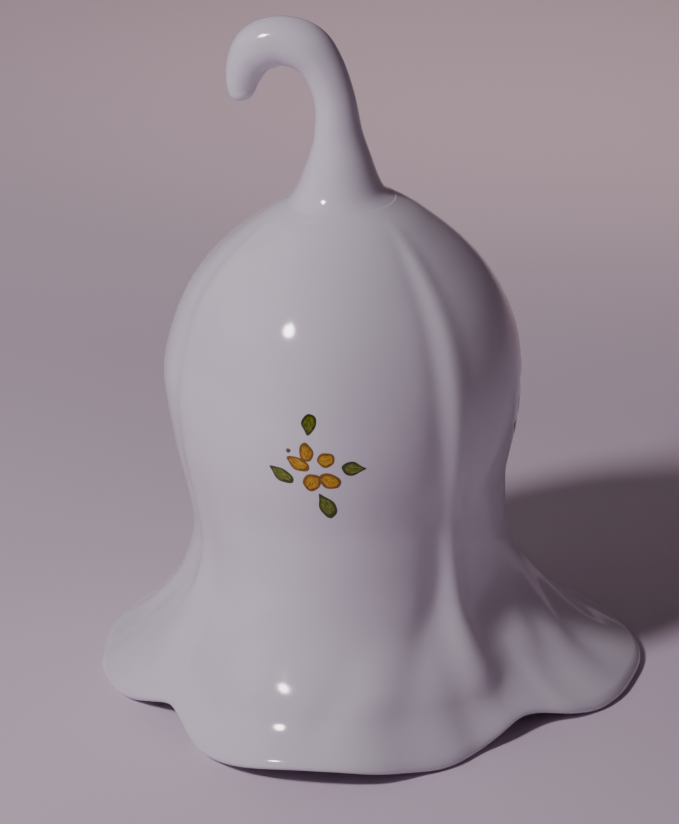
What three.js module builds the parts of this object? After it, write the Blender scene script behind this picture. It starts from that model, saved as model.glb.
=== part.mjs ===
// Porcelain hand bell shaped like a flower, with a crook handle and a hanging clapper.
// Millimetres, +Z up. The rim stands on z = 0 and the crook curls towards -X.
import * as THREE from 'three';
import { mergeVertices } from 'three/addons/utils/BufferGeometryUtils.js';

// ---- Driving dimensions ----
const AXIS_X = -3.8; // the right petal reaches further than the left one, so the dome is off centre
const WALL = 2.2; // slip-cast wall of the dome and skirt
const SEAT_Z = 75.2; // flat crown that the handle is luted on
const SEAT_RADIUS = 7.4;
const CEILING_Z = 71.2; // flat inside of the crown
const CEILING_RADIUS = 6.4;
const RIM_TOP_Z = 2.0; // the outer wall ends here and the rounded rim begins
const RIM_RADIUS = 38; // mean radius there
const BAR_Z = 64.6; // underside loop of the crown: middle of the bar that the clapper hangs on
const BAR_RADIUS = 1.3;
const LOOP_RADIUS = 4.2;
const WIRE_RADIUS = 0.5;
const EYE_RADIUS = 2.3; // wire eyes, to the middle of the wire
const PIN_EYE_RADIUS = 2.0;
const BEAD_RADIUS = 5.8;
const BEAD_Z = 27.2;

// Mean outline of the outer wall, from the crown's seat down to the rim: radius, height.
const OUTLINE = [
  [SEAT_RADIUS, SEAT_Z], [11.8, 72.4], [17.4, 67], [22.5, 59.6], [25.6, 50], [25.9, 40.5],
  [24.2, 31], [23.3, 22.5], [25.6, 14.8], [31.6, 7.4], [RIM_RADIUS, RIM_TOP_Z],
];

// Edge of the four petals seen from above: azimuth in degrees, reach in mm from the dome's axis.
// Each petal starts at a notch, widens quickly and draws in slowly to the next notch.
const PETALS = [
  [-38, 33.4], [-32, 34.3], [-26, 35.9], [-17, 38.2], [-8, 40], [2, 40.6], [12, 40.5], [21, 40.1],
  [30, 38.9], [38, 37.6], [46, 35.9], [53, 35.5], [60, 35.6], [66, 37.1], [72, 40], [79, 42.6],
  [93, 44.9], [108, 45.3], [126, 41.7], [139, 37.4], [149, 35.2], [158, 37.5], [170, 40.2],
  [184, 40.9], [200, 40.2], [214, 38.6], [227, 36], [238, 34.4], [250, 35], [263, 36.4], [277, 37.4], [291, 37.7],
  [302, 36.9], [310, 35.6], [316, 34.4],
];

// The four ribs. Azimuths, in degrees from the front (-Y) towards +X, at the shoulder, at the belly and
// at the notch that the rib's leg runs down to; then how strong the rib is, and how far the panel of
// wall after it bulges.
const RIBS = [
  [-58, -51, -37, 0.5, 1.5], [54, 52, 61, 1, 0.5], [143, 141.5, 149, 0.85, 1.2],
  [230, 231.5, 238, 0.9, 0.5],
];
// Furrows that run down the skirt between the ribs: azimuth at the rim, depth.
const FLUTES = [
  [6, 0.45], [75.5, 0.75], [90.5, 0.8], [107, 0.6], [166, 0.35], [181, 0.5], [197, 0.45],
  [252, 0.4], [267, 0.5], [282, 0.45],
];

// Middle line of the crook from its root to its tip: x from the dome's axis, z, radius.
const CROOK = [
  [-0.9, SEAT_Z, SEAT_RADIUS], [-0.9, 77.2, 6.05], [-0.95, 81.25, 4.55], [-1.15, 84.7, 3.55],
  [-1.7, 89.75, 3], [-3.4, 94.35, 3.1], [-5.8, 97.1, 3.5], [-9.35, 97.95, 3.55], [-12.7, 96.85, 3.6],
  [-14.6, 94.35, 3.05], [-15.45, 90.95, 2.25], [-14.8, 88.8, 1.7],
];

// ---- Materials ----
const porcelain = new THREE.MeshStandardMaterial({ color: 0xe4e3ea, roughness: 0.12, metalness: 0 });
const brass = new THREE.MeshStandardMaterial({ color: 0xb08d4c, roughness: 0.35, metalness: 1 });

// ---- Small helpers ----
const { clamp, degToRad, euclideanModulo, radToDeg, smoothstep } = THREE.MathUtils;
const bump = (offset, width) => Math.exp(-((offset / width) ** 2));
const around = (angle) => euclideanModulo(angle + 180, 360) - 180; // between -180 and 180 degrees

// Falls from 1 at the centre to 0 at a quarter turn on either side of it.
function petalWeight(azimuth, centre) {
  const offset = Math.abs(around(azimuth - centre));
  return offset < 90 ? Math.cos(degToRad(offset)) ** 2 : 0;
}

// Reach of the petals' edge at an azimuth: a smooth closed curve through PETALS.
function petalReach(azimuth) {
  const count = PETALS.length;
  const knot = (i) => {
    const turn = Math.floor(i / count);
    const [angle, reach] = PETALS[i - turn * count];
    return [angle + 360 * turn, reach];
  };
  const slope = (i) => (knot(i + 1)[1] - knot(i - 1)[1]) / (knot(i + 1)[0] - knot(i - 1)[0]);
  const angle = PETALS[0][0] + euclideanModulo(azimuth - PETALS[0][0], 360);
  let i = 0;
  while (knot(i + 1)[0] <= angle) i += 1;
  const span = knot(i + 1)[0] - knot(i)[0];
  const t = (angle - knot(i)[0]) / span;
  const ends = (2 * t ** 3 - 3 * t ** 2 + 1) * knot(i)[1] + (3 * t ** 2 - 2 * t ** 3) * knot(i + 1)[1];
  return ends + span * ((t ** 3 - 2 * t ** 2 + t) * slope(i) + (t ** 3 - t ** 2) * slope(i + 1));
}

// Height above the round mean bell, in mm, of everything that belongs to one rib: its crease with the
// groove on its left, the leg it turns into on the skirt, and the valley that opens towards the notch.
function ribRelief(azimuth, z, ribAt, notch) {
  const body = 1 - smoothstep(z, 60, SEAT_Z);
  const low = 1 - smoothstep(z, 8, 34);
  const crease = (1 - smoothstep(z, 68, SEAT_Z)) * (0.5 + 0.15 * bump(z - 34, 12)) * smoothstep(z, 0, 10);
  const leg = (0.9 * low + 0.4 * bump(z - 15, 7)) * (0.3 + 0.7 * smoothstep(z, 0, 9));
  const splay = 1 - smoothstep(z, 4, 22);
  const valleyDepth = 0.7 * (1 - smoothstep(z, 14, 30)) * smoothstep(z, -4, 12);

  const fromRib = around(azimuth - ribAt);
  const groove = around(azimuth - ribAt + 6.5 + 18.5 * (1 - smoothstep(z, 4, 26)));
  const valley = around(azimuth - notch - 6.5 - 4.5 * smoothstep(z, 3, 17));
  return (crease + leg) * bump(fromRib, fromRib < 0 ? 4.8 + 4 * splay : 6.2 + 2 * splay)
    - (0.3 * body + 0.4 * low) * bump(groove, 5 + 2.5 * low)
    - valleyDepth * bump(valley, 7);
}

// Moves a point of the round mean bell out or in and up, to make ribs, petals, flutes and notches.
// relief is 1 on the outside and less on the inside, where the slip has softened the ribs.
function shapePoint(azimuth, radius, z, relief) {
  const body = 1 - smoothstep(z, 60, SEAT_Z);
  const skirt = 1 - smoothstep(z, 6, 20);
  const flare = clamp((24.5 - z) / 22.5, 0, 1) ** 1.6;

  let folds = 0;
  let bulges = 0;
  let lifts = 2.7 * (1 - smoothstep(Math.abs(around(azimuth - 7)), 2, 30)); // the front petal curls up
  RIBS.forEach(([shoulder, belly, notch, strength, bulge], i) => {
    const ribAt = belly + (shoulder - belly) * smoothstep(z, 48, 66);
    folds += strength * ribRelief(azimuth, z, ribAt, notch);
    lifts += 2.4 * (1 - smoothstep(Math.abs(around(azimuth - notch)), 0, 18));
    const panelWidth = euclideanModulo(RIBS[(i + 1) % 4][1] - belly, 360);
    const along = euclideanModulo(azimuth - ribAt, 360) / panelWidth;
    if (along < 1) bulges += bulge * Math.sin(Math.PI * along) ** 2;
  });
  const panel = body * ((1 - skirt) * bulges - 0.4);

  // The panels differ: left and right are fuller at the shoulder, right at the neck, front below it.
  const waist = smoothstep(z, 24, 36) * (1 - smoothstep(z, 36, 50));
  const neck = smoothstep(z, 4, 16) * (1 - smoothstep(z, 20, 34));
  const shoulder = smoothstep(z, 46, 56) * (1 - smoothstep(z, 64, 74));
  const leftSide = smoothstep(z, 38, 50) * (1 - smoothstep(z, 64, 76));
  const uneven = 1.1 * shoulder * petalWeight(azimuth, 125)
    + 1.5 * leftSide * petalWeight(azimuth, -85) ** 2
    + (1.4 * neck - 0.5 * waist) * petalWeight(azimuth, 100)
    + 0.4 * waist * petalWeight(azimuth, -80)
    + 3.1 * bump(z - 10.5, 5.8) * petalWeight(azimuth, 13)
    + 3.6 * bump(z - 21, 11) * petalWeight(azimuth, 10) ** 1.5;

  const fluteFade = (1 - smoothstep(z, 7, 20)) * (0.25 + 0.75 * smoothstep(z, 0, 6));
  const drift = 9 * smoothstep(z, 2, 18);
  const flutes = FLUTES.reduce(
    (sum, [place, depth]) => sum + depth * bump(around(azimuth - drift - place), 5), 0);

  const petals = (petalReach(azimuth) - RIM_RADIUS) * flare;
  const shift = petals + panel + uneven + relief * (folds - fluteFade * flutes);
  const lift = lifts * clamp((12 - z) / 12, 0, 1);
  return [radius + shift * clamp((radius - 4) / 6, 0, 1), z + lift];
}

// Keeps only shared corner points and drops faces without area.
function closed(geometry) {
  geometry.deleteAttribute('normal');
  geometry.deleteAttribute('uv');
  const merged = mergeVertices(geometry, 1e-3);
  const corners = merged.index.array;
  const kept = [];
  for (let i = 0; i < corners.length; i += 3) {
    const [a, b, c] = corners.slice(i, i + 3);
    if (a !== b && b !== c && c !== a) kept.push(a, b, c);
  }
  merged.setIndex(kept);
  merged.computeVertexNormals();
  return merged;
}

function node(name, geometry, material) {
  const mesh = new THREE.Mesh(closed(geometry), material);
  mesh.name = name;
  return mesh;
}

// A solid of revolution about +Z. The profile runs [radius, height] from the bottom up its outside.
function turned(profile, segments) {
  const lathe = new THREE.LatheGeometry(profile.map(([r, z]) => new THREE.Vector2(r, z)), segments);
  return lathe.rotateX(Math.PI / 2);
}

// Bends a turned solid along a flat curve. The profile's height is the distance along the curve,
// and place(u, v, w) puts a point of the curve's plane, w off that plane, into space.
function bent(profile, curve, segments, place) {
  const geometry = turned(profile, segments);
  const position = geometry.getAttribute('position');
  const length = curve.getLength();
  const point = new THREE.Vector3();
  for (let i = 0; i < position.count; i += 1) {
    point.fromBufferAttribute(position, i);
    const along = clamp(point.z / length, 0, 1);
    const middle = curve.getPointAt(along);
    const tangent = curve.getTangentAt(along);
    const u = middle.x + tangent.y * point.x;
    const v = middle.y - tangent.x * point.x;
    position.setXYZ(i, ...place(u, v, point.y));
  }
  return geometry;
}

// ---- Bell shell: dome, ribs, neck and ruffled skirt, cast in one piece ----
function bellShell() {
  const segments = 72;
  const rows = 22;
  const crowding = 0.4; // brings more of the segments to the ribs

  const curve = new THREE.SplineCurve(OUTLINE.map(([r, z]) => new THREE.Vector2(r, z)));
  const outside = [];
  const inside = [];
  for (let row = 0; row <= rows; row += 1) {
    const t = row / rows;
    const { x: radius, y: z } = curve.getPoint(t);
    const tangent = curve.getTangent(t);
    const wall = WALL + 1.8 * (1 - smoothstep(radius, 6, 16));
    outside.push([radius, z]);
    if (radius > 10.5 && row < rows) inside.push([radius + wall * tangent.y, z - wall * tangent.x]);
  }
  const within = [[0, CEILING_Z], [CEILING_RADIUS, CEILING_Z], ...inside, [36.4, 0.6]];
  const rim = [[37.2, 0], [38.4, 0], [38.8, 0.9]];
  const profile = [...within, ...rim, ...outside.reverse(), [0, SEAT_Z]];

  const geometry = turned(profile, segments);
  const position = geometry.getAttribute('position');
  for (let i = 0; i < position.count; i += 1) {
    const segment = Math.floor(i / profile.length) % segments;
    const place = i % profile.length;
    const turn = (360 * segment) / segments;
    const azimuth = turn - radToDeg((crowding / 4) * Math.sin(degToRad(4 * (turn - RIBS[1][1]))));
    const relief = place < within.length ? 0.5 : 1;
    const [radius, z] = shapePoint(azimuth, ...profile[place], relief);
    const angle = degToRad(azimuth);
    position.setXYZ(i, radius * Math.sin(angle), -radius * Math.cos(angle), z);
  }
  return node('bell_shell', geometry, porcelain);
}

// ---- Crook handle: a tapering porcelain stem that hooks over to the left ----
function crookHandle() {
  const curve = new THREE.SplineCurve(CROOK.map(([x, z]) => new THREE.Vector2(x, z)));
  const radii = new THREE.SplineCurve(CROOK.map(([, , radius], i) => new THREE.Vector2(i, radius)));
  const length = curve.getLength();
  const tip = CROOK.at(-1)[2];
  const rows = 34;
  const profile = [[0, 0]];
  for (let row = 0; row <= rows; row += 1) {
    const t = row / rows;
    const along = curve.getUtoTmapping(t);
    profile.push([radii.getPoint(along).y, length * t]);
  }
  const straight = length - tip;
  const body = profile.filter(([, along]) => along < straight);
  const capRows = 5;
  for (let row = 0; row <= capRows; row += 1) {
    const angle = (row / capRows) * (Math.PI / 2);
    body.push([tip * Math.cos(angle), straight + tip * Math.sin(angle)]);
  }
  return node('crook_handle', bent(body, curve, 16, (u, v, w) => [u, w, v]), porcelain);
}

// ---- Clapper loop: a porcelain U under the crown, its feet luted to the ceiling ----
function clapperLoop() {
  const foot = CEILING_Z - BAR_Z - LOOP_RADIUS;
  const curve = new THREE.Path();
  curve.moveTo(-LOOP_RADIUS, CEILING_Z);
  curve.lineTo(-LOOP_RADIUS, CEILING_Z - foot);
  curve.absarc(0, CEILING_Z - foot, LOOP_RADIUS, Math.PI, 2 * Math.PI, false);
  curve.lineTo(LOOP_RADIUS, CEILING_Z);
  const length = curve.getLength();
  const rows = 20;
  const profile = [[0, 0]];
  for (let row = 0; row <= rows; row += 1) profile.push([BAR_RADIUS, (length * row) / rows]);
  profile.push([0, length]);
  return node('clapper_loop', bent(profile, curve, 12, (u, v, w) => [u, w, v]), porcelain);
}

// Rows of a wire's profile along a length, with flat ends.
function wireProfile(length, step) {
  const rows = Math.round(length / step);
  const profile = [[0, 0]];
  for (let row = 0; row <= rows; row += 1) profile.push([WIRE_RADIUS, (length * row) / rows]);
  profile.push([0, length]);
  return profile;
}

// ---- Hanger wire: an eye round the porcelain loop, a shank and a second eye ----
const TOP_EYE_Z = BAR_Z + BAR_RADIUS + 0.15 + WIRE_RADIUS - EYE_RADIUS;
const LOW_EYE_Z = 38.6;
const EYE_OPENING = 0.62; // radians left open where the end of the wire stops short of the shank

function hangerWire() {
  const curve = new THREE.Path();
  curve.absarc(0, TOP_EYE_Z, EYE_RADIUS, -Math.PI / 2 + EYE_OPENING, 1.5 * Math.PI, false);
  curve.absarc(0, LOW_EYE_Z, EYE_RADIUS, Math.PI / 2, 2.5 * Math.PI - EYE_OPENING, false);
  const profile = wireProfile(curve.getLength(), 0.95);
  return node('hanger_wire', bent(profile, curve, 8, (u, v, w) => [-w, u, v]), brass);
}

// ---- Clapper pin: an eye linked through the hanger, a shank and a flat head under the bead ----
const PIN_EYE_Z = LOW_EYE_Z - EYE_RADIUS + WIRE_RADIUS + 0.15 + WIRE_RADIUS - PIN_EYE_RADIUS;
const PIN_HEAD_Z = BEAD_Z - BEAD_RADIUS + 0.15;

function clapperPin() {
  const curve = new THREE.Path();
  curve.absarc(0, PIN_EYE_Z, PIN_EYE_RADIUS, -Math.PI / 2 + EYE_OPENING, 1.5 * Math.PI, false);
  curve.lineTo(0, PIN_HEAD_Z - 0.9);
  const length = curve.getLength();
  const profile = wireProfile(length, 0.95).filter(([, along]) => along < length - 1);
  profile.push([WIRE_RADIUS, length - 0.9], [1.5, length - 0.8], [1.5, length - 0.3], [0, length]);
  return node('clapper_pin', bent(profile, curve, 8, (u, v, w) => [u, w, v]), brass);
}

// ---- Clapper bead: a pierced porcelain ball, flat round its hole ----
function clapperBead() {
  const hole = WIRE_RADIUS + 0.2;
  const flat = 1.6;
  const start = Math.asin(flat / BEAD_RADIUS);
  const rows = 12;
  const profile = [];
  for (let row = 0; row <= rows; row += 1) {
    const angle = start + ((Math.PI - 2 * start) * row) / rows;
    profile.push([BEAD_RADIUS * Math.sin(angle), BEAD_Z - BEAD_RADIUS * Math.cos(angle)]);
  }
  const reach = BEAD_RADIUS * Math.cos(start);
  profile.push([hole, BEAD_Z + reach], [hole, BEAD_Z - reach], profile[0]);
  return node('clapper_bead', turned(profile, 24), porcelain);
}

const bell = new THREE.Group();
bell.position.x = AXIS_X;
bell.add(bellShell(), crookHandle(), clapperLoop(), hangerWire(), clapperPin(), clapperBead());
const part = new THREE.Group();
part.add(bell);

export default part;
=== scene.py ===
"""Porcelain flower bell: the fine visual model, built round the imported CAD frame. Metres, +Z up."""
import math

import bmesh
import bpy
import numpy as np
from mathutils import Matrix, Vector


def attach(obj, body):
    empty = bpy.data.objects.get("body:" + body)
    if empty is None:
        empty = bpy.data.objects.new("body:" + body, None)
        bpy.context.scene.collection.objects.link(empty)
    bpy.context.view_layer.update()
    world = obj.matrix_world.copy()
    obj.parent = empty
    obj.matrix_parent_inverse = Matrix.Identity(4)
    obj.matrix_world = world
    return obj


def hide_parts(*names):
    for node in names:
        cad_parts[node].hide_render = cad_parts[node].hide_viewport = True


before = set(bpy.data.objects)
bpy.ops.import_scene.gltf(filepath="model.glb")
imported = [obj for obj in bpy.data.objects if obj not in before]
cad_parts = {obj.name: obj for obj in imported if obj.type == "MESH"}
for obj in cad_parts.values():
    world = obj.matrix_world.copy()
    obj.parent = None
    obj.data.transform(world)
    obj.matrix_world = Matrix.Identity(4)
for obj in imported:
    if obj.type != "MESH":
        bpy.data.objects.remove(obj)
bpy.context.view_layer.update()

MM = 0.001
X, Y = (1, 0, 0), (0, 1, 0)

# ---------------------------------------------------------------- sizes of the bell, mm (as in the CAD)
AXIS_X = -3.8                 # the dome's axis, from the middle of the bell's box
WALL = 2.2
SEAT_Z, SEAT_RADIUS = 75.2, 7.4
CEILING_Z, CEILING_RADIUS = 71.2, 6.4
RIM_RADIUS, RIM_TOP_Z = 38.0, 2.0
BAR_Z, BAR_RADIUS, LOOP_RADIUS = 64.6, 1.3, 4.2
WIRE_RADIUS, EYE_RADIUS, PIN_EYE_RADIUS = 0.5, 2.3, 2.0
EYE_OPENING = 0.62            # radians
BEAD_RADIUS, BEAD_Z = 5.8, 27.2

# The round mean bell: its outside from the crown to the rim, then round the rim to the inside.
OUTLINE = np.array([
    (SEAT_RADIUS, SEAT_Z), (11.8, 72.4), (17.4, 67), (22.5, 59.6), (25.6, 50), (25.9, 40.5),
    (24.2, 31), (23.3, 22.5), (25.6, 14.8), (31.6, 7.4), (RIM_RADIUS, RIM_TOP_Z)])

RIM = [(RIM_RADIUS, RIM_TOP_Z), (38.78, 0.95), (38.5, 0.18), (37.9, 0), (37.3, 0), (36.75, 0.16),
       (36.4, 0.6)]

# The petals' edge: degrees from the front (-Y) towards +X, reach from the axis.
PETALS = np.array([
    (-38, 33.4), (-32, 34.3), (-26, 35.9), (-17, 38.2), (-8, 40), (2, 40.6), (12, 40.5), (21, 40.1),
    (30, 38.9), (38, 37.6), (46, 35.9), (53, 35.5), (60, 35.6), (66, 37.1), (72, 40), (79, 42.6),
    (93, 44.9), (108, 45.3), (126, 41.7), (139, 37.4), (149, 35.2), (158, 37.5), (170, 40.2),
    (184, 40.9), (200, 40.2), (214, 38.6), (227, 36), (238, 34.4), (250, 35), (263, 36.4), (277, 37.4),
    (291, 37.7), (302, 36.9), (310, 35.6), (316, 34.4)])

# The four ribs, in degrees from the front (-Y) towards +X: at the shoulder, at the belly, and the notch
# that each one's leg runs down to. Then how strong the rib is, and how far the panel after it bulges.
RIBS = [(-58, -51, -37, 0.5, 1.5), (54, 52, 61, 1, 0.5), (143, 141.5, 149, 0.85, 1.2),
        (230, 231.5, 238, 0.9, 0.5)]
# Furrows down the skirt between them: azimuth at the rim, depth.
FLUTES = [(6, 0.45), (75.5, 0.75), (90.5, 0.8), (107, 0.6), (166, 0.35), (181, 0.5),
          (197, 0.45), (252, 0.4), (267, 0.5), (282, 0.45)]

# Middle line of the crook from its root to its tip: x from the dome's axis, z, radius.
CROOK = np.array([
    (-0.9, SEAT_Z, SEAT_RADIUS), (-0.9, 77.2, 6.05), (-0.95, 81.25, 4.55), (-1.15, 84.7, 3.55),
    (-1.7, 89.75, 3), (-3.4, 94.35, 3.1), (-5.8, 97.1, 3.5), (-9.35, 97.95, 3.55), (-12.7, 96.85, 3.6),
    (-14.6, 94.35, 3.05), (-15.45, 90.95, 2.25), (-14.8, 88.8, 1.7)])


# ---------------------------------------------------------------- small maths
def smoothstep(x, low, high):
    t = np.clip((x - low) / (high - low), 0, 1)
    return t * t * (3 - 2 * t)


def bump(offset, width):
    return np.exp(-(offset / width) ** 2)


def around(angle):
    """The same angle between -180 and 180 degrees."""
    return (angle + 180) % 360 - 180


def spline(points, t):
    """Points of a Catmull-Rom curve through the given ones, at t from 0 to 1."""
    points = np.asarray(points, float)
    last = len(points) - 1
    place = np.clip(np.asarray(t, float), 0, 1) * last
    i = np.minimum(place.astype(int), last - 1)
    w = (place - i)[..., None]
    before, here, after = points[np.maximum(i - 1, 0)], points[i], points[i + 1]
    beyond = points[np.minimum(i + 2, last)]
    before = np.where((i == 0)[..., None], here, before)
    beyond = np.where((i == last - 1)[..., None], after, beyond)
    start, end = (after - before) / 2, (beyond - here) / 2
    return ((2 * here - 2 * after + start + end) * w ** 3
            + (3 * after - 3 * here - 2 * start - end) * w ** 2 + start * w + here)


# ---------------------------------------------------------------- the bell's surface
def petal_weight(azimuth, centre):
    offset = np.abs(around(azimuth - centre))
    return np.where(offset < 90, np.cos(np.radians(offset)) ** 2, 0)


def petal_reach(azimuth):
    """Reach of the petals' edge from the axis: a smooth closed curve through PETALS."""
    angle, reach = PETALS.T
    count = len(angle)
    knots = np.concatenate([angle - 360, angle, angle + 360, angle + 720])
    values = np.tile(reach, 4)
    slopes = np.gradient(values) / np.gradient(knots)
    x = (np.asarray(azimuth) - angle[0]) % 360 + angle[0]
    i = np.searchsorted(knots, x, side="right") - 1
    span = knots[i + 1] - knots[i]
    t = (x - knots[i]) / span
    return ((2 * t ** 3 - 3 * t ** 2 + 1) * values[i] + (3 * t ** 2 - 2 * t ** 3) * values[i + 1]
            + span * ((t ** 3 - 2 * t ** 2 + t) * slopes[i] + (t ** 3 - t ** 2) * slopes[i + 1]))


def shape_point(azimuth, radius, z, relief):
    """Moves a point of the round mean bell to make the ribs, petals, flutes and notches."""
    body = 1 - smoothstep(z, 60, SEAT_Z)
    skirt = 1 - smoothstep(z, 6, 20)
    flare = np.clip((24.5 - z) / 22.5, 0, 1) ** 1.6
    low = 1 - smoothstep(z, 8, 34)

    # Each rib is a low crease with a groove on its left. Lower down it stands out as a leg, the groove
    # wanders off into the petal, and a valley opens on its right towards the notch.
    crease = (1 - smoothstep(z, 68, SEAT_Z)) * (0.5 + 0.15 * bump(z - 34, 12)) * smoothstep(z, 0, 10)
    leg = (0.9 * low + 0.4 * bump(z - 15, 7)) * (0.3 + 0.7 * smoothstep(z, 0, 9))
    splay = 1 - smoothstep(z, 4, 22)
    valley_depth = 0.7 * (1 - smoothstep(z, 14, 30)) * smoothstep(z, -4, 12)
    folds = panel = notch_lift = 0
    for number, (shoulder, belly, notch, strength, bulge) in enumerate(RIBS):
        rib_at = belly + (shoulder - belly) * smoothstep(z, 48, 66)
        from_rib = around(azimuth - rib_at)
        groove = around(azimuth - rib_at + 6.5 + 18.5 * (1 - smoothstep(z, 4, 26)))
        valley = around(azimuth - notch - 6.5 - 4.5 * smoothstep(z, 3, 17))
        folds = folds + strength * (
            (crease + leg) * bump(from_rib, np.where(from_rib < 0, 4.8 + 4 * splay, 6.2 + 2 * splay))
            - (0.3 * body + 0.4 * low) * bump(groove, 5 + 2.5 * low)
            - valley_depth * bump(valley, 7))
        notch_lift = notch_lift + 2.4 * (1 - smoothstep(np.abs(around(azimuth - notch)), 0, 18))
        panel_width = (RIBS[(number + 1) % 4][1] - belly) % 360
        along = (azimuth - rib_at) % 360 / panel_width
        panel = panel + np.where(along < 1, bulge * np.sin(np.pi * np.minimum(along, 1)) ** 2, 0)
    panel = body * ((1 - skirt) * panel - 0.4)

    # The panels differ: left and right are fuller at the shoulder, right at the neck, front below it.
    waist = smoothstep(z, 24, 36) * (1 - smoothstep(z, 36, 50))
    neck = smoothstep(z, 4, 16) * (1 - smoothstep(z, 20, 34))
    shoulder = smoothstep(z, 46, 56) * (1 - smoothstep(z, 64, 74))
    left_side = smoothstep(z, 38, 50) * (1 - smoothstep(z, 64, 76))
    uneven = (1.1 * shoulder * petal_weight(azimuth, 125)
              + 1.5 * left_side * petal_weight(azimuth, -85) ** 2
              + (1.4 * neck - 0.5 * waist) * petal_weight(azimuth, 100)
              + 0.4 * waist * petal_weight(azimuth, -80)
              + 3.1 * bump(z - 10.5, 5.8) * petal_weight(azimuth, 13)
              + 3.6 * bump(z - 21, 11) * petal_weight(azimuth, 10) ** 1.5)

    flute_fade = (1 - smoothstep(z, 7, 20)) * (0.25 + 0.75 * smoothstep(z, 0, 6))
    drift = 9 * smoothstep(z, 2, 18)
    flutes = sum(depth * bump(around(azimuth - drift - place), 5) for place, depth in FLUTES)

    petals = (petal_reach(azimuth) - RIM_RADIUS) * flare
    shift = petals + panel + uneven + relief * (folds - flute_fade * flutes)
    front_lift = 2.7 * (1 - smoothstep(np.abs(around(azimuth - 7)), 2, 30))
    # The rim lifts at the notches and under the front petal.
    lift = (notch_lift + front_lift) * np.clip((12 - z) / 12, 0, 1)
    return radius + shift * np.clip((radius - 4) / 6, 0, 1), z + lift


def in_space(azimuth, radius, z):
    angle = np.radians(azimuth)
    return np.stack([AXIS_X + radius * np.sin(angle), -radius * np.cos(angle), z + 0 * radius], -1)


DENSE = spline(OUTLINE, np.linspace(0, 1, 600))


def on_bell(azimuth, z, proud):
    """A point on the outer glaze of the dome or neck, raised by proud mm."""
    def surface(azimuth, z):
        radius = np.interp(-z, -DENSE[:, 1], DENSE[:, 0])
        return in_space(azimuth, shape_point(azimuth, radius, z, 1)[0], z)
    here = surface(azimuth, z)
    across = surface(azimuth + 0.2, z) - surface(azimuth - 0.2, z)
    up = surface(azimuth, z + 0.1) - surface(azimuth, z - 0.1)
    normal = np.cross(across, up)
    normal /= np.linalg.norm(normal, axis=-1, keepdims=True)
    return here + normal * np.asarray(proud)[..., None]


# ---------------------------------------------------------------- meshes
def quads(index):
    """Faces between neighbouring rows of point numbers, closed round each row."""
    after = np.roll(index, -1, axis=1)
    return np.stack([index[:-1], after[:-1], after[1:], index[1:]], -1).reshape(-1, 4).tolist()


def smooth_object(name, mesh, skin):
    """A smooth object of this mesh, linked to the scene."""
    mesh.polygons.foreach_set("use_smooth", [True] * len(mesh.polygons))
    mesh.materials.append(skin)
    piece = bpy.data.objects.new(name, mesh)
    bpy.context.scene.collection.objects.link(piece)
    return piece


def grid_object(name, points, skin, close_rows=False):
    """A smooth object from a grid of points in mm, closed round its second direction."""
    rows, columns = points.shape[:2]
    index = np.arange(rows * columns).reshape(rows, columns)
    if close_rows:
        index = np.vstack([index, index[:1]])
    mesh = bpy.data.meshes.new(name)
    mesh.from_pydata((points.reshape(-1, 3) * MM).tolist(), [], quads(index))
    tidy = bmesh.new()
    tidy.from_mesh(mesh)
    bmesh.ops.remove_doubles(tidy, verts=tidy.verts, dist=1e-7)
    bmesh.ops.recalc_face_normals(tidy, faces=tidy.faces)
    tidy.to_mesh(mesh)
    tidy.free()
    return smooth_object(name, mesh, skin)


def fit(piece, body, slot, *nodes):
    """The piece rides on its body and stands in for these CAD nodes, which are hidden. The slot is not
    used.
    """
    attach(piece, body)
    if nodes:
        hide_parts(*nodes)
    return piece


def swept(centres, radii, aside, segments):
    """A round bar along centres (mm); aside is the one direction square to its flat curve."""
    tangent = np.gradient(centres, axis=0)
    tangent /= np.linalg.norm(tangent, axis=1, keepdims=True) + 1e-12
    across = np.cross(np.asarray(aside, float), tangent)
    turn = np.linspace(0, 2 * math.pi, segments, endpoint=False)[None, :, None]
    ring = np.cos(turn) * across[:, None] + np.sin(turn) * np.asarray(aside, float)
    return centres[:, None] + radii[:, None, None] * ring


# ---------------------------------------------------------------- materials
def material(name):
    made = bpy.data.materials.new(name)
    made.use_nodes = True
    nodes, links = made.node_tree.nodes, made.node_tree.links
    return made, nodes, links, nodes["Principled BSDF"]


def noise(nodes, links, coords, scale, detail=4, roughness=0.5):
    node = nodes.new("ShaderNodeTexNoise")
    node.inputs["Scale"].default_value = scale
    node.inputs["Detail"].default_value = detail
    node.inputs["Roughness"].default_value = roughness
    links.new(coords, node.inputs["Vector"])
    return node.outputs["Fac"]


def ramp(nodes, links, value, *stops):
    """A colour ramp: stops are (position, colour), from low to high."""
    node = nodes.new("ShaderNodeValToRGB")
    while len(node.color_ramp.elements) < len(stops):
        node.color_ramp.elements.new(0.5)
    for element, (position, colour) in zip(node.color_ramp.elements, stops):
        element.position = position
        element.color = (*colour, 1)
    links.new(value, node.inputs["Fac"])
    return node.outputs["Color"]


def blend(nodes, links, factor, first, second):
    node = nodes.new("ShaderNodeMix")
    node.data_type = "RGBA"
    for value, socket in ((factor, node.inputs[0]), (first, node.inputs[6]), (second, node.inputs[7])):
        if isinstance(value, bpy.types.NodeSocket):
            links.new(value, socket)
        else:
            socket.default_value = (*value, 1) if isinstance(value, tuple) else value
    return node.outputs[2]


def bumped(nodes, links, bsdf, height, distance, strength, normal=None):
    node = nodes.new("ShaderNodeBump")
    node.inputs["Distance"].default_value = distance
    node.inputs["Strength"].default_value = strength
    links.new(height, node.inputs["Height"])
    if normal:
        links.new(normal, node.inputs["Normal"])
    links.new(node.outputs["Normal"], bsdf.inputs["Normal"])
    return node.outputs["Normal"]


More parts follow.
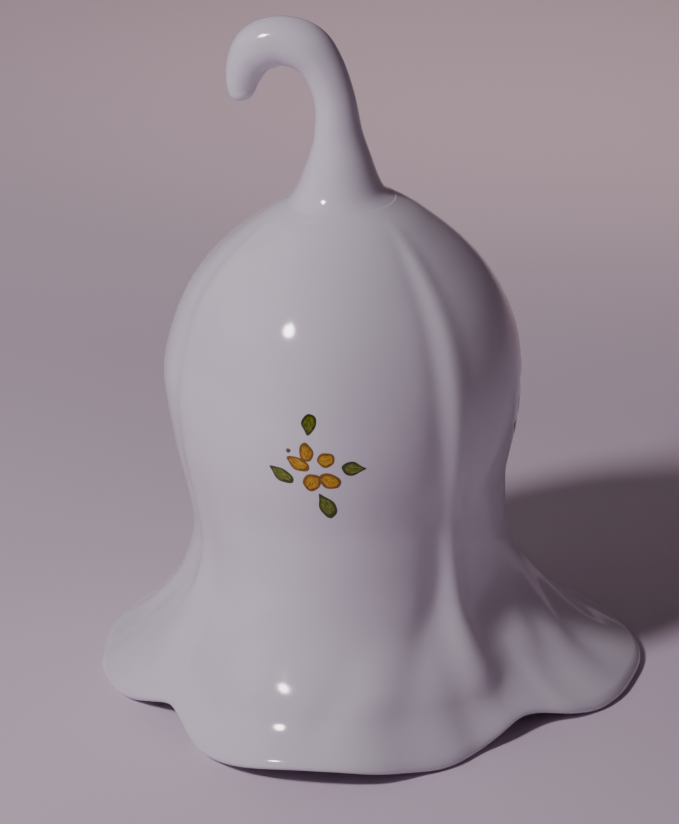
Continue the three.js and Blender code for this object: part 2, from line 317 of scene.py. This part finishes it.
def porcelain(name, foot=False):
    """White glazed porcelain: cool body colour, faint pooling, a few iron specks, a wavy gloss."""
    made, nodes, links, bsdf = material(name)
    coords = nodes.new("ShaderNodeTexCoord").outputs["Object"]
    tone = ramp(nodes, links, noise(nodes, links, coords, 45, 3),
                (0.35, (0.765, 0.735, 0.805)), (0.65, (0.80, 0.77, 0.835)))
    specks = nodes.new("ShaderNodeTexVoronoi")
    specks.inputs["Scale"].default_value = 260
    links.new(coords, specks.inputs["Vector"])
    dot = ramp(nodes, links, specks.outputs["Distance"], (0.045, (1, 1, 1)), (0.075, (0, 0, 0)))
    rare = ramp(nodes, links, noise(nodes, links, coords, 330, 0), (0.70, (0, 0, 0)), (0.74, (1, 1, 1)))
    speck = nodes.new("ShaderNodeMath")
    speck.operation = "MULTIPLY"
    links.new(dot, speck.inputs[0])
    links.new(rare, speck.inputs[1])
    colour = blend(nodes, links, speck.outputs[0], tone, (0.25, 0.2, 0.16))
    gloss = ramp(nodes, links, noise(nodes, links, coords, 120, 4),
                 (0.3, (0.085,) * 3), (0.75, (0.14,) * 3))
    if foot:
        height = nodes.new("ShaderNodeSeparateXYZ")
        links.new(coords, height.inputs["Vector"])
        ragged = nodes.new("ShaderNodeMath")
        ragged.operation = "MULTIPLY_ADD"
        links.new(noise(nodes, links, coords, 400, 3), ragged.inputs[0])
        ragged.inputs[1].default_value = -0.0004
        links.new(height.outputs["Z"], ragged.inputs[2])
        bare = nodes.new("ShaderNodeMapRange")
        bare.inputs["From Min"].default_value = 0.0
        bare.inputs["From Max"].default_value = -0.00016
        links.new(ragged.outputs[0], bare.inputs["Value"])
        colour = blend(nodes, links, bare.outputs["Result"], colour, (0.80, 0.76, 0.70))
        gloss = blend(nodes, links, bare.outputs["Result"], gloss, (0.62, 0.62, 0.62))
    links.new(colour, bsdf.inputs["Base Color"])
    links.new(gloss, bsdf.inputs["Roughness"])
    bsdf.inputs["IOR"].default_value = 1.52
    bsdf.inputs["Subsurface Weight"].default_value = 0.06
    bsdf.inputs["Subsurface Radius"].default_value = (1.0, 0.8, 0.7)
    bsdf.inputs["Subsurface Scale"].default_value = 0.0012
    wave = bumped(nodes, links, bsdf, noise(nodes, links, coords, 95, 2), 0.00022, 0.35)
    bumped(nodes, links, bsdf, noise(nodes, links, coords, 900, 2), 0.00001, 0.5, wave)
    return made


def brass_wire(name):
    """Drawn brass that has dulled, brown in patches."""
    made, nodes, links, bsdf = material(name)
    coords = nodes.new("ShaderNodeTexCoord").outputs["Object"]
    patches = noise(nodes, links, coords, 500, 6, 0.6)
    colour = ramp(nodes, links, patches, (0.35, (0.26, 0.16, 0.07)), (0.5, (0.56, 0.39, 0.16)),
                  (0.7, (0.72, 0.54, 0.25)))
    links.new(colour, bsdf.inputs["Base Color"])
    dullness = ramp(nodes, links, patches, (0.35, (0.5,) * 3), (0.65, (0.24,) * 3))
    links.new(dullness, bsdf.inputs["Roughness"])
    bsdf.inputs["Metallic"].default_value = 1
    bumped(nodes, links, bsdf, noise(nodes, links, coords, 2600, 4), 0.00002, 0.5)
    return made


def enamel(name, outline, middle, light, glow):
    """On-glaze enamel brushed over: dark where it gathers at the edge, streaked along the stroke."""
    made, nodes, links, bsdf = material(name)
    stroke = nodes.new("ShaderNodeAttribute")
    stroke.attribute_name = "stroke"
    edge = nodes.new("ShaderNodeAttribute")
    edge.attribute_name = "edge"
    stretch = nodes.new("ShaderNodeMapping")
    stretch.inputs["Scale"].default_value = (0.55, 2.6, 1)
    links.new(stroke.outputs["Vector"], stretch.inputs["Vector"])
    streaks = noise(nodes, links, stretch.outputs["Vector"], 2.4, 5, 0.6)
    inside = ramp(nodes, links, streaks, (0.36, outline), (0.45, middle), (0.58, light), (0.7, glow))
    uneven = nodes.new("ShaderNodeMath")
    uneven.operation = "MULTIPLY_ADD"
    links.new(noise(nodes, links, stroke.outputs["Vector"], 1.5, 3), uneven.inputs[0])
    uneven.inputs[1].default_value = 0.55
    links.new(edge.outputs["Fac"], uneven.inputs[2])
    gathered = ramp(nodes, links, uneven.outputs[0], (0.94, (0, 0, 0)), (1.34, (0.9, 0.9, 0.9)))
    links.new(blend(nodes, links, gathered, inside, outline), bsdf.inputs["Base Color"])
    bsdf.inputs["Roughness"].default_value = 0.2
    bsdf.inputs["IOR"].default_value = 1.5
    bumped(nodes, links, bsdf, streaks, 0.00005, 0.4)
    return made


# ---------------------------------------------------------------- porcelain pieces
def bell_shell(skin):
    """Dome, neck and skirt as one closed shell, thicker at the crown."""
    segments, rows, inner_rows = 360, 150, 74
    outside = spline(OUTLINE, np.linspace(0, 1, rows))
    rim = spline(RIM, np.linspace(0, 1, 18))[1:]
    thin = spline(OUTLINE, np.linspace(0, 0.995, inner_rows))
    tangent = np.gradient(thin, axis=0)
    tangent /= np.linalg.norm(tangent, axis=1, keepdims=True)
    wall = WALL + 1.8 * (1 - smoothstep(thin[:, 0], 6, 16))
    inside = thin + wall[:, None] * np.stack([tangent[:, 1], -tangent[:, 0]], -1)
    clear_of_ceiling, clear_of_rim = thin[:, 0] > 10.5, inside[:, 1] > 0.75
    inside = inside[clear_of_ceiling & clear_of_rim][::-1]
    # Under the crook the dome goes on one step further and closes flat.
    under_crook = 2 * outside[0] - outside[1]
    crown = np.linspace((0, under_crook[1]), under_crook, 6)
    ceiling = np.linspace((CEILING_RADIUS, CEILING_Z), (0, CEILING_Z), 6)
    profile = np.vstack([crown, outside, rim, inside, ceiling])
    # The relief is half as deep on the inside.
    outer_rows = len(crown) + rows + len(rim) - 2
    relief = np.where(np.arange(len(profile)) < outer_rows, 1.0, 0.5)

    crowding = 0.4            # brings more of the segments to the ribs
    turn = np.linspace(0, 360, segments, endpoint=False)
    azimuth = turn - np.degrees(crowding / 4 * np.sin(np.radians(4 * (turn - RIBS[1][1]))))
    radius, z = shape_point(azimuth[None], profile[:, :1], profile[:, 1:], relief[:, None])
    return grid_object("porcelain_bell_shell", in_space(azimuth[None], radius, z), skin)


def crook_handle(skin):
    """The crook, with the slip fillet that blends its root into the dome."""
    segments, bar_rings, cap_rings, bar_start = 120, 170, 16, 1.6
    line = spline(CROOK, np.linspace(0, 1, 420))
    steps = np.concatenate([[0], np.cumsum(np.linalg.norm(np.diff(line[:, :2], axis=0), axis=1))])
    tip = line[-1, 2]
    bend = np.linspace(0, math.pi / 2, cap_rings)
    cap = steps[-1] - tip + tip * np.sin(bend)
    even = np.concatenate([np.linspace(bar_start, cap[0], bar_rings)[:-1], cap])
    x, z, radius = (np.interp(even, steps, column) for column in line.T)
    radius[-cap_rings:] = radius[-cap_rings] * np.cos(bend)
    centres = np.stack([AXIS_X + x, 0 * x, z], -1)
    bar = swept(centres, radius, Y, segments)

    def around_axis(ring):
        side, depth = ring[:, 0] - AXIS_X, ring[:, 1]
        return np.degrees(np.arctan2(side, -depth)), np.hypot(side, depth)

    # The fillet: in each upright plane a curve that leaves the dome along it and runs up into the bar.
    azimuth, reach = around_axis(bar[0])
    higher = around_axis(bar[1])[1]
    dome_radius, dome_z = shape_point(azimuth[None], DENSE[:200, :1], DENSE[:200, 1:], 1)
    foot = 8.6 - 0.5 * np.sin(np.radians(azimuth))      # wider on the left

    def dome_height(r):
        return np.array([np.interp(r[i], dome_radius[:, i], dome_z[:, i]) for i in range(len(r))])
    low = dome_height(foot)
    slope = (dome_height(foot + 0.4) - low) / 0.4
    gap = np.hypot(foot - reach, bar[0, :, 2] - low)
    out = np.stack([-1 + 0 * slope, -slope]) / np.hypot(1, slope) * gap
    rise = np.stack([higher - reach, bar[1, :, 2] - bar[0, :, 2]])
    rise = rise / np.hypot(*rise) * gap
    start, end = np.stack([foot, low - 0.03]), np.stack([reach, bar[0, :, 2]])
    hidden_edge = foot + 0.9
    fillet = [in_space(azimuth, hidden_edge, dome_height(hidden_edge) - 0.3)]
    for t in np.linspace(0, 1, 22)[:-1]:
        ring_radius, ring_z = ((2 * t ** 3 - 3 * t ** 2 + 1) * start + (3 * t ** 2 - 2 * t ** 3) * end
                               + (t ** 3 - 2 * t ** 2 + t) * out + (t ** 3 - t ** 2) * rise)
        fillet.append(in_space(azimuth, ring_radius, ring_z))
    return grid_object("porcelain_crook", np.concatenate([np.array(fillet), bar]), skin)


def clapper_loop(skin):
    """The porcelain loop under the crown, with slip smeared round its feet."""
    drop = CEILING_Z - BAR_Z - LOOP_RADIUS
    leg = np.linspace(0, drop, 16)
    arc = np.linspace(math.pi, 2 * math.pi, 70)[1:-1]
    x = np.concatenate([-LOOP_RADIUS + 0 * leg, LOOP_RADIUS * np.cos(arc), LOOP_RADIUS + 0 * leg])
    bend_z = CEILING_Z - drop
    z = np.concatenate([CEILING_Z - leg, bend_z + LOOP_RADIUS * np.sin(arc), bend_z + leg])
    centres = np.stack([AXIS_X + x, 0 * x, z + 0.05], -1)
    slip = 0.9 * np.exp((z - CEILING_Z) / 0.45)
    radii = (BAR_RADIUS + slip) * (1 + 0.015 * np.sin(z * 1.7 + x))
    return grid_object("porcelain_clapper_loop", swept(centres, radii, Y, 48), skin)


def clapper_bead(skin):
    """A pierced ball with a soft lip round each end of its hole."""
    hole = WIRE_RADIUS + 0.2
    flat = 1.5
    start = math.asin(flat / BEAD_RADIUS)
    turn = np.linspace(start, math.pi - start, 70)
    outer = np.stack([BEAD_RADIUS * np.sin(turn), -BEAD_RADIUS * np.cos(turn)], -1)
    reach = BEAD_RADIUS * math.cos(start)
    lip = np.array([(1.25, 0.07), (1.0, 0.04), (0.82, -0.1), (hole, -0.35)])
    top = np.stack([lip[:, 0], reach + lip[:, 1]], -1)
    bottom = np.stack([lip[::-1, 0], -reach - lip[::-1, 1]], -1)
    bore = np.stack([np.full(8, hole), np.linspace(reach - 0.6, 0.6 - reach, 8)], -1)
    profile = np.vstack([outer, top, bore, bottom])
    turn = np.linspace(0, 2 * math.pi, 96, endpoint=False)[None]
    radius, z = profile[:, :1], BEAD_Z + profile[:, 1:]
    points = np.stack([AXIS_X + radius * np.cos(turn), radius * np.sin(turn), z + 0 * turn], -1)
    return grid_object("porcelain_clapper_bead", points, skin, close_rows=True)


# ---------------------------------------------------------------- wires
def wire(name, side, up, aside, metal, head=None):
    """A round wire along a flat path; aside is the direction square to the path, X or Y."""
    zero = 0 * side
    centres = np.stack([AXIS_X + zero, side, up] if aside == X else [AXIS_X + side, zero, up], -1)
    spacing, rounded, head_thick, head_edge = 0.12, 0.35, 0.95, 0.3
    steps = np.concatenate([[0], np.cumsum(np.linalg.norm(np.diff(centres, axis=0), axis=1))])
    even = np.linspace(0, steps[-1], int(steps[-1] / spacing))
    centres = np.stack([np.interp(even, steps, centres[:, i]) for i in range(3)], -1)
    from_end = np.minimum(even, even[-1] - even)
    round_end = np.sqrt(np.clip(1 - (1 - np.clip(from_end / rounded, 0, 1)) ** 2, 0, 1))
    radii = WIRE_RADIUS * round_end
    if head is not None:
        from_tip = even[-1] - even
        disc = head * np.sqrt(np.clip(1 - ((from_tip - 0.5) / 0.42) ** 4, 0, 1))
        radii = np.where(from_tip < head_thick, np.maximum(radii, disc), radii)
        edge = head * np.sqrt(np.clip(from_tip / head_edge, 0, 1))
        radii = np.where(from_tip < head_edge, edge, radii)
    return grid_object(name, swept(centres, radii, aside, 28), metal)


def eye(centre_z, radius, start, end, steps=120):
    """Side and height along an eye of wire, from one angle to another."""
    angle = np.linspace(start, end, steps)
    return radius * np.cos(angle), centre_z + radius * np.sin(angle)


# The eyes hang a little clear of one another and of the porcelain bar, as in the CAD.
LINK_GAP = 0.15
TOP_EYE_Z = BAR_Z + BAR_RADIUS + LINK_GAP + WIRE_RADIUS - EYE_RADIUS
LOW_EYE_Z = 38.6
PIN_EYE_Z = LOW_EYE_Z - EYE_RADIUS + 2 * WIRE_RADIUS + LINK_GAP - PIN_EYE_RADIUS
PIN_HEAD_Z = BEAD_Z - BEAD_RADIUS + 0.15


def hanger_wire(metal):
    """A wire with an eye round the porcelain bar and one for the pin."""
    top = eye(TOP_EYE_Z, EYE_RADIUS, -math.pi / 2 + EYE_OPENING, 1.5 * math.pi)
    low = eye(LOW_EYE_Z, EYE_RADIUS, math.pi / 2, 2.5 * math.pi - EYE_OPENING)
    side, up = np.concatenate([top, low], axis=1)
    return wire("brass_hanger", side, up, X, metal)


def clapper_pin(metal):
    """An eye in the XZ plane, a straight shank and a flat head under the bead."""
    side, up = eye(PIN_EYE_Z, PIN_EYE_RADIUS, -math.pi / 2 + EYE_OPENING, 1.5 * math.pi)
    shank = np.linspace(PIN_EYE_Z - PIN_EYE_RADIUS, PIN_HEAD_Z - 0.9, 60)[1:]
    side, up = np.concatenate([side, 0 * shank]), np.concatenate([up, shank])
    return wire("brass_pin", side, up, Y, metal, head=1.5)


# ---------------------------------------------------------------- painted sprigs
# Strokes of one sprig, mm from its middle: right, up, length, width, angle of its tip, how pointed.
PETAL_STROKES = [
    (-1.1, 2.6, 2.9, 1.95, 100, 0.1), (-2.25, 0.8, 3.5, 2.0, 152, 0.5), (1.6, 1.6, 2.4, 2.25, 20, 0.0),
    (-0.27, -1.95, 2.75, 2.45, -110, 0.0), (2.15, -1.65, 3.15, 2.35, -25, 0.12)]
LEAF_STROKES = [
    (-0.8, 6.7, 3.1, 2.1, -94, 0.5), (-4.6, -1.2, 3.95, 2.05, 150, 0.7),
    (5.33, 0.25, 3.35, 2.2, -5, 0.8), (1.7, -5.6, 4.2, 2.3, 116, 0.65)]
DOT_STROKES = [(-3.55, 2.6, 0.65, 0.65, 0, 0)]
BELLY_RADIUS = 25.6


def strokes_object(name, strokes, azimuth, height, paint, seed):
    """Brush strokes of enamel that follow the glaze, a hair proud of it."""
    chance = np.random.default_rng(seed)
    rings, sectors = 10, 44
    distance = np.linspace(0, 1, rings)[:, None]
    turn = np.linspace(0, 2 * math.pi, sectors, endpoint=False)[None]
    vertices, faces, stroke_data, edge_data = [], [], [], []
    for number, (right, up, length, width, angle, point) in enumerate(strokes):
        wobble = (1 + 0.04 * np.sin(3 * turn + 6 * chance.random())
                  + 0.025 * np.sin(5 * turn + 6 * chance.random()))
        along = distance * np.cos(turn) * wobble
        side = distance * np.sin(turn) * wobble
        narrow = 1 - 0.85 * point * smoothstep(along, -0.1, 1.0)
        a, s = along * length / 2, side * width / 2 * narrow
        lean = math.radians(angle)
        dx = right + a * math.cos(lean) - s * math.sin(lean)
        dz = up + a * math.sin(lean) + s * math.cos(lean)
        place = azimuth + np.degrees(dx / BELLY_RADIUS)
        proud = 0.006 + 0.035 * (1 - distance ** 4) + 0 * turn
        points = on_bell(place, height + dz, proud)
        start = len(vertices)
        vertices += (points.reshape(-1, 3) * MM).tolist()
        index = start + np.arange(rings * sectors).reshape(rings, sectors)
        faces += quads(index)
        stroke_data.append(np.stack([a, s, 0 * a + 3.7 * number + seed], -1).reshape(-1, 3))
        edge_data.append((distance + 0 * turn).reshape(-1))
    mesh = bpy.data.meshes.new(name)
    mesh.from_pydata(vertices, [], faces)
    mesh.attributes.new("stroke", "FLOAT_VECTOR", "POINT").data.foreach_set(
        "vector", np.concatenate(stroke_data).ravel().astype(np.float32))
    mesh.attributes.new("edge", "FLOAT", "POINT").data.foreach_set(
        "value", np.concatenate(edge_data).astype(np.float32))
    tidy = bmesh.new()
    tidy.from_mesh(mesh)
    bmesh.ops.remove_doubles(tidy, verts=tidy.verts, dist=1e-8)
    tidy.to_mesh(mesh)
    tidy.free()
    return smooth_object(name, mesh, paint)


def sprigs():
    gold = enamel("enamel_ochre", (0.22, 0.085, 0.002), (0.50, 0.24, 0.002), (0.66, 0.37, 0.003),
                  (0.82, 0.60, 0.05))
    green = enamel("enamel_olive", (0.04, 0.052, 0.002), (0.115, 0.15, 0.006), (0.20, 0.235, 0.016),
                   (0.36, 0.40, 0.07))
    brown = enamel("enamel_brown", (0.10, 0.05, 0.03), (0.15, 0.08, 0.05), (0.2, 0.1, 0.07),
                   (0.25, 0.15, 0.1))
    # Where the middle of each sprig sits: degrees round the bell, height in mm.
    places = (("front", 3.8, 43.85), ("right", 102, 42.3), ("back", 184, 43.8), ("left", 263, 44.5))
    for number, (side, azimuth, height) in enumerate(places):
        for kind, strokes, paint in (("petals", PETAL_STROKES, gold), ("leaves", LEAF_STROKES, green),
                                     ("dot", DOT_STROKES, brown)):
            piece = strokes_object(f"sprig_{side}_{kind}", strokes, azimuth, height, paint, 11 + number)
            fit(piece, "bell", "porcelain")


# ---------------------------------------------------------------- stage, light and camera
def stage():
    """A round pale floor that curves up into a wall all round, 1 m and more away."""
    floor_material, *_, bsdf = material("stage_floor")
    bsdf.inputs["Base Color"].default_value = (0.80, 0.69, 0.80, 1)
    bsdf.inputs["Roughness"].default_value = 0.55
    flat, curve = 1.0, 0.45
    wall_top, segments, below_rim = 2.2, 96, 0.00002
    sweep = [(0.0001, 0), (0.12, 0), (0.4, 0)]
    sweep += [(flat + curve * math.sin(a), curve - curve * math.cos(a))
              for a in np.linspace(0, math.pi / 2, 24)]
    sweep.append((flat + curve, wall_top))
    turn = np.linspace(0, 2 * math.pi, segments, endpoint=False)
    corners = np.array([[(r * math.cos(a), r * math.sin(a), z - below_rim) for a in turn]
                        for r, z in sweep])
    index = np.arange(len(sweep) * segments).reshape(-1, segments)
    mesh = bpy.data.meshes.new("stage_floor")
    mesh.from_pydata(corners.reshape(-1, 3).tolist(), [], quads(index))
    floor = smooth_object("stage_floor", mesh, floor_material)


def aim_from(thing, aim, azimuth, elevation, distance):
    """Puts a light or camera at a distance from what it looks at; azimuth 0 looks along +Y."""
    a, e = math.radians(azimuth), math.radians(elevation)
    back = Vector((math.sin(a) * math.cos(e), -math.cos(a) * math.cos(e), math.sin(e)))
    thing.location = Vector(aim) + back * distance
    thing.rotation_euler = back.to_track_quat("Z", "Y").to_euler()
    bpy.context.scene.collection.objects.link(thing)


def area_light(name, azimuth, elevation, distance, size, power, colour, aim=(0, 0, 0.045)):
    data = bpy.data.lights.new(name, "AREA")
    data.shape = "DISK"
    data.size = size
    data.energy = power
    data.color = colour
    light = bpy.data.objects.new(name, data)
    aim_from(light, aim, azimuth, elevation, distance)


def lights():
    area_light("key", -38, 42, 0.6, 0.09, 2.15, (1.0, 0.92, 1.0))
    area_light("fill", -82, 34, 0.8, 0.7, 0.45, (1.0, 0.92, 0.95))
    area_light("wall_light", 0, 40, 0.4, 0.4, 0.35, (1.0, 0.78, 0.66), aim=(0, 0.62, 0))
    area_light("back_light", 195, 32, 0.9, 0.7, 0.3, (1.0, 0.9, 0.88))
    world = bpy.data.worlds.new("studio")
    bpy.context.scene.world = world
    world.use_nodes = True
    background = world.node_tree.nodes["Background"]
    background.inputs["Color"].default_value = (1.0, 0.84, 0.74, 1)
    background.inputs["Strength"].default_value = 0.02


def camera():
    data = bpy.data.cameras.new("camera")
    data.sensor_fit = "VERTICAL"
    data.sensor_height = 24
    data.lens = 82.4
    data.clip_start = 0.01
    view = bpy.data.objects.new("camera", data)
    aim_from(view, (AXIS_X * MM - 0.00095, -0.00023, 0.0409), azimuth=13.5, elevation=24, distance=0.425)
    bpy.context.scene.camera = view


# ---------------------------------------------------------------- the whole
camera()
lights()
stage()
glaze = porcelain("porcelain_glaze", foot=True)
bead_glaze = porcelain("bead_glaze")
metal = brass_wire("brass_wire")
fit(bell_shell(glaze), "bell", "porcelain", "bell_shell")
fit(crook_handle(glaze), "bell", "porcelain", "crook_handle")
fit(clapper_loop(glaze), "bell", "porcelain", "clapper_loop")
fit(hanger_wire(metal), "hanger", "brass_wire", "hanger_wire")
fit(clapper_pin(metal), "pin", "brass_wire", "clapper_pin")
fit(clapper_bead(bead_glaze), "bead", "bead_porcelain", "clapper_bead")
sprigs()
